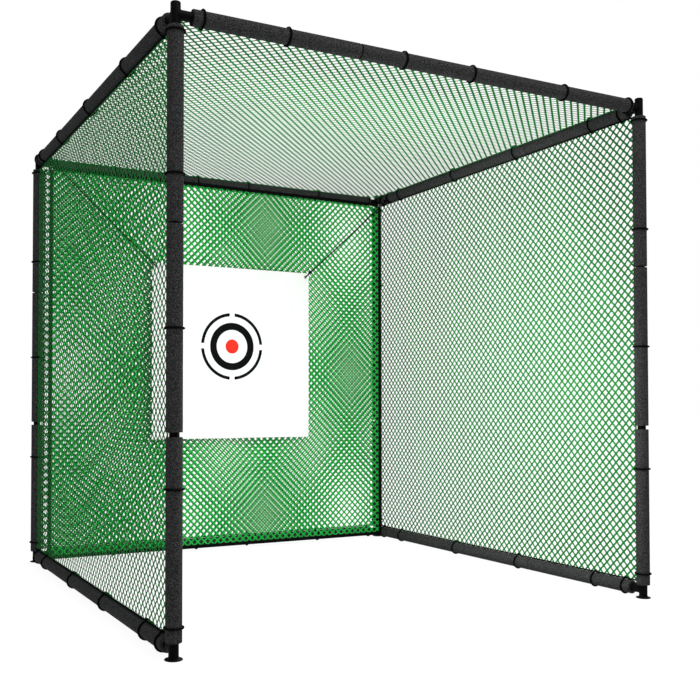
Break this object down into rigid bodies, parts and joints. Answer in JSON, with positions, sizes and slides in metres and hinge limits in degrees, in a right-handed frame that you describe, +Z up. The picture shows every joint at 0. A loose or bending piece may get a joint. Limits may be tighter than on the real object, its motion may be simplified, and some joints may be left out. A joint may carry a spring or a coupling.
{
  "type": "golf practice cage net",
  "caption": "Walk-in golf practice cage: a sleeved steel tube cube netted on back, sides and roof, with an inner impact net and a corded target sheet.",
  "frame": {"origin": "on the floor under the middle of the cage", "axes": "+Z up, +X to the right of a player who looks along +Y into the open front, so the open front faces -Y"},
  "size_m": [3.035, 3.035, 2.998],
  "materials": {
    "frame_tube": "satin black powder coat",
    "corner_fitting": "satin black powder coat",
    "foam": "matte closed-cell foam skin",
    "netting": "matte green twisted twine",
    "impact_netting": "matte green twisted twine, closer to the eye and denser",
    "net_border": "matte black braided rope and webbing",
    "elastic_loop": "matte black covered elastic",
    "target_canvas": "matte white woven polyester",
    "target_print": "matte printed ink",
    "target_cord": "matte black braided cord",
    "eyelet": "polished pressed eyelet"
  },
  "bodies": {
    "root": {"front_left_post_tube_lower": "frame_tube", "front_left_post_tube_middle": "frame_tube", "front_left_post_tube_upper": "frame_tube", "front_left_post_foam": "foam", "front_right_post_tube_lower": "frame_tube", "front_right_post_tube_middle": "frame_tube", "front_right_post_tube_upper": "frame_tube", "front_right_post_foam": "foam", "back_left_post_tube_lower": "frame_tube", "back_left_post_tube_middle": "frame_tube", "back_left_post_tube_upper": "frame_tube", "back_left_post_foam": "foam", "back_right_post_tube_lower": "frame_tube", "back_right_post_tube_middle": "frame_tube", "back_right_post_tube_upper": "frame_tube", "back_right_post_foam": "foam", "bottom_left_rail_tube_front": "frame_tube", "bottom_left_rail_tube_middle": "frame_tube", "bottom_left_rail_tube_back": "frame_tube", "bottom_left_rail_foam": "foam", "bottom_right_rail_tube_front": "frame_tube", "bottom_right_rail_tube_middle": "frame_tube", "bottom_right_rail_tube_back": "frame_tube", "bottom_right_rail_foam": "foam", "bottom_back_rail_tube_left": "frame_tube", "bottom_back_rail_tube_middle": "frame_tube", "bottom_back_rail_tube_right": "frame_tube", "bottom_back_rail_foam": "foam", "top_left_rail_tube_front": "frame_tube", "top_left_rail_tube_middle": "frame_tube", "top_left_rail_tube_back": "frame_tube", "top_left_rail_foam": "foam", "top_right_rail_tube_front": "frame_tube", "top_right_rail_tube_middle": "frame_tube", "top_right_rail_tube_back": "frame_tube", "top_right_rail_foam": "foam", "top_front_rail_tube_left": "frame_tube", "top_front_rail_tube_middle": "frame_tube", "top_front_rail_tube_right": "frame_tube", "top_front_rail_foam": "foam", "top_back_rail_tube_left": "frame_tube", "top_back_rail_tube_middle": "frame_tube", "top_back_rail_tube_right": "frame_tube", "top_back_rail_foam": "foam", "bottom_front_left_corner": "corner_fitting", "bottom_front_right_corner": "corner_fitting", "bottom_back_left_corner": "corner_fitting", "bottom_back_right_corner": "corner_fitting", "top_front_left_corner": "corner_fitting", "top_front_right_corner": "corner_fitting", "top_back_left_corner": "corner_fitting", "top_back_right_corner": "corner_fitting", "left_net": "netting", "right_net": "netting", "back_net": "netting", "roof_net": "netting"},
    "impact_net": {"impact_net": "impact_netting"},
    "target": {"target_sheet": "target_canvas", "target_cord_left": "target_cord", "target_cord_right": "target_cord"}
  },
  "joints": [
    {"name": "impact_net_swing", "type": "hinge", "parent": "root", "child": "impact_net", "pos_m": [0, 1.335, 2.893], "axis": [1, 0, 0], "range_deg": [-1, 1.7]},
    {"name": "target_swing", "type": "hinge", "parent": "root", "child": "target", "pos_m": [0, 1.25, 2.915], "axis": [1, 0, 0], "range_deg": [-80, 1]}
  ]
}
